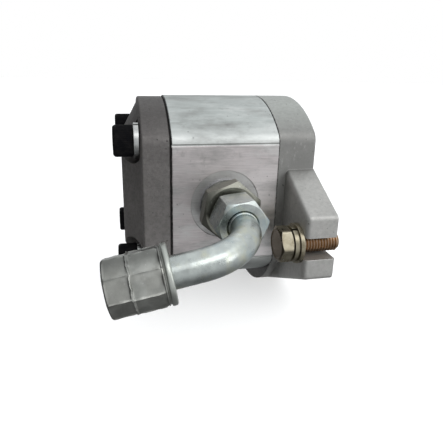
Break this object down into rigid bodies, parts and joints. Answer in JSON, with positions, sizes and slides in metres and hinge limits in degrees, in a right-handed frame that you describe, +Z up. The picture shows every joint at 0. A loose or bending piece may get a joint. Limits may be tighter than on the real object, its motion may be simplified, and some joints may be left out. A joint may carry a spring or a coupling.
{
  "type": "hydraulic gear pump",
  "caption": "External gear pump with a cast mounting flange, extruded body and cast rear cover, keyed drive shaft, swivel hose elbow on its pressure port and bolts in open flange slots.",
  "frame": {"origin": "where the drive shaft's axis meets the mounting face, which is also the middle of the mounting bolts", "axes": "+X out of the mounting face along the drive shaft, +Z up from the drive gear to the driven gear, the pressure port faces -Y"},
  "size_m": [0.1393, 0.1898, 0.1152],
  "materials": {
    "cast_flange": "fine cast, warm grey",
    "extruded_body": "extruded crown, milled port pads",
    "cast_cover": "dull cast, dark grey",
    "ground_steel": "hardened and ground",
    "bright_steel": "bright",
    "bearing_alloy": "machined",
    "bush_bronze": "sintered bronze",
    "seal_rubber": "satin black",
    "backup_plastic": "white, waxy",
    "spring_steel": "bright zinc",
    "black_oxide": "black oxide",
    "olive_zinc": "olive chromate zinc",
    "bright_zinc": "bright zinc, blue-white",
    "dull_zinc": "dull zinc, crimped",
    "yellow_zinc": "yellow chromate zinc"
  },
  "bodies": {
    "housing": {"front_flange": "cast_flange", "pump_body": "extruded_body", "rear_cover": "cast_cover", "front_bearing_block": "bearing_alloy", "rear_bearing_block": "bearing_alloy", "front_bushes": "bush_bronze", "rear_bushes": "bush_bronze", "front_pressure_seal": "seal_rubber", "rear_pressure_seal": "seal_rubber", "front_seal_backups": "backup_plastic", "rear_seal_backups": "backup_plastic", "front_body_seal": "seal_rubber", "rear_body_seal": "seal_rubber", "shaft_seal_case": "bright_steel", "shaft_seal_lip": "seal_rubber", "garter_spring": "spring_steel", "seal_circlip": "spring_steel", "dowel_pins": "bright_steel", "cover_bolts": "black_oxide", "cover_bolt_washers": "spring_steel", "port_adapter": "olive_zinc", "adapter_seal": "bright_steel", "swivel_nut": "bright_zinc", "elbow_tube": "bright_zinc", "cone_seal": "seal_rubber", "crimp_ferrule": "dull_zinc", "mounting_bolts": "yellow_zinc", "mounting_spring_washers": "yellow_zinc", "mounting_flat_washers": "yellow_zinc"},
    "drive_shaft": {"drive_gear_shaft": "ground_steel", "shaft_key": "bright_steel"},
    "driven_gear": {"driven_gear_shaft": "ground_steel"}
  },
  "joints": [
    {"name": "drive_spin", "type": "hinge", "parent": "housing", "child": "drive_shaft", "pos_m": [-0.0481, 0, 0], "axis": [1, 0, 0], "continuous": true},
    {"name": "driven_spin", "type": "hinge", "parent": "housing", "child": "driven_gear", "pos_m": [-0.0481, 0, 0.03], "axis": [1, 0, 0], "continuous": true}
  ],
  "couplings": [
    {"joint": "driven_spin", "follows": "drive_spin", "ratio": -1}
  ]
}
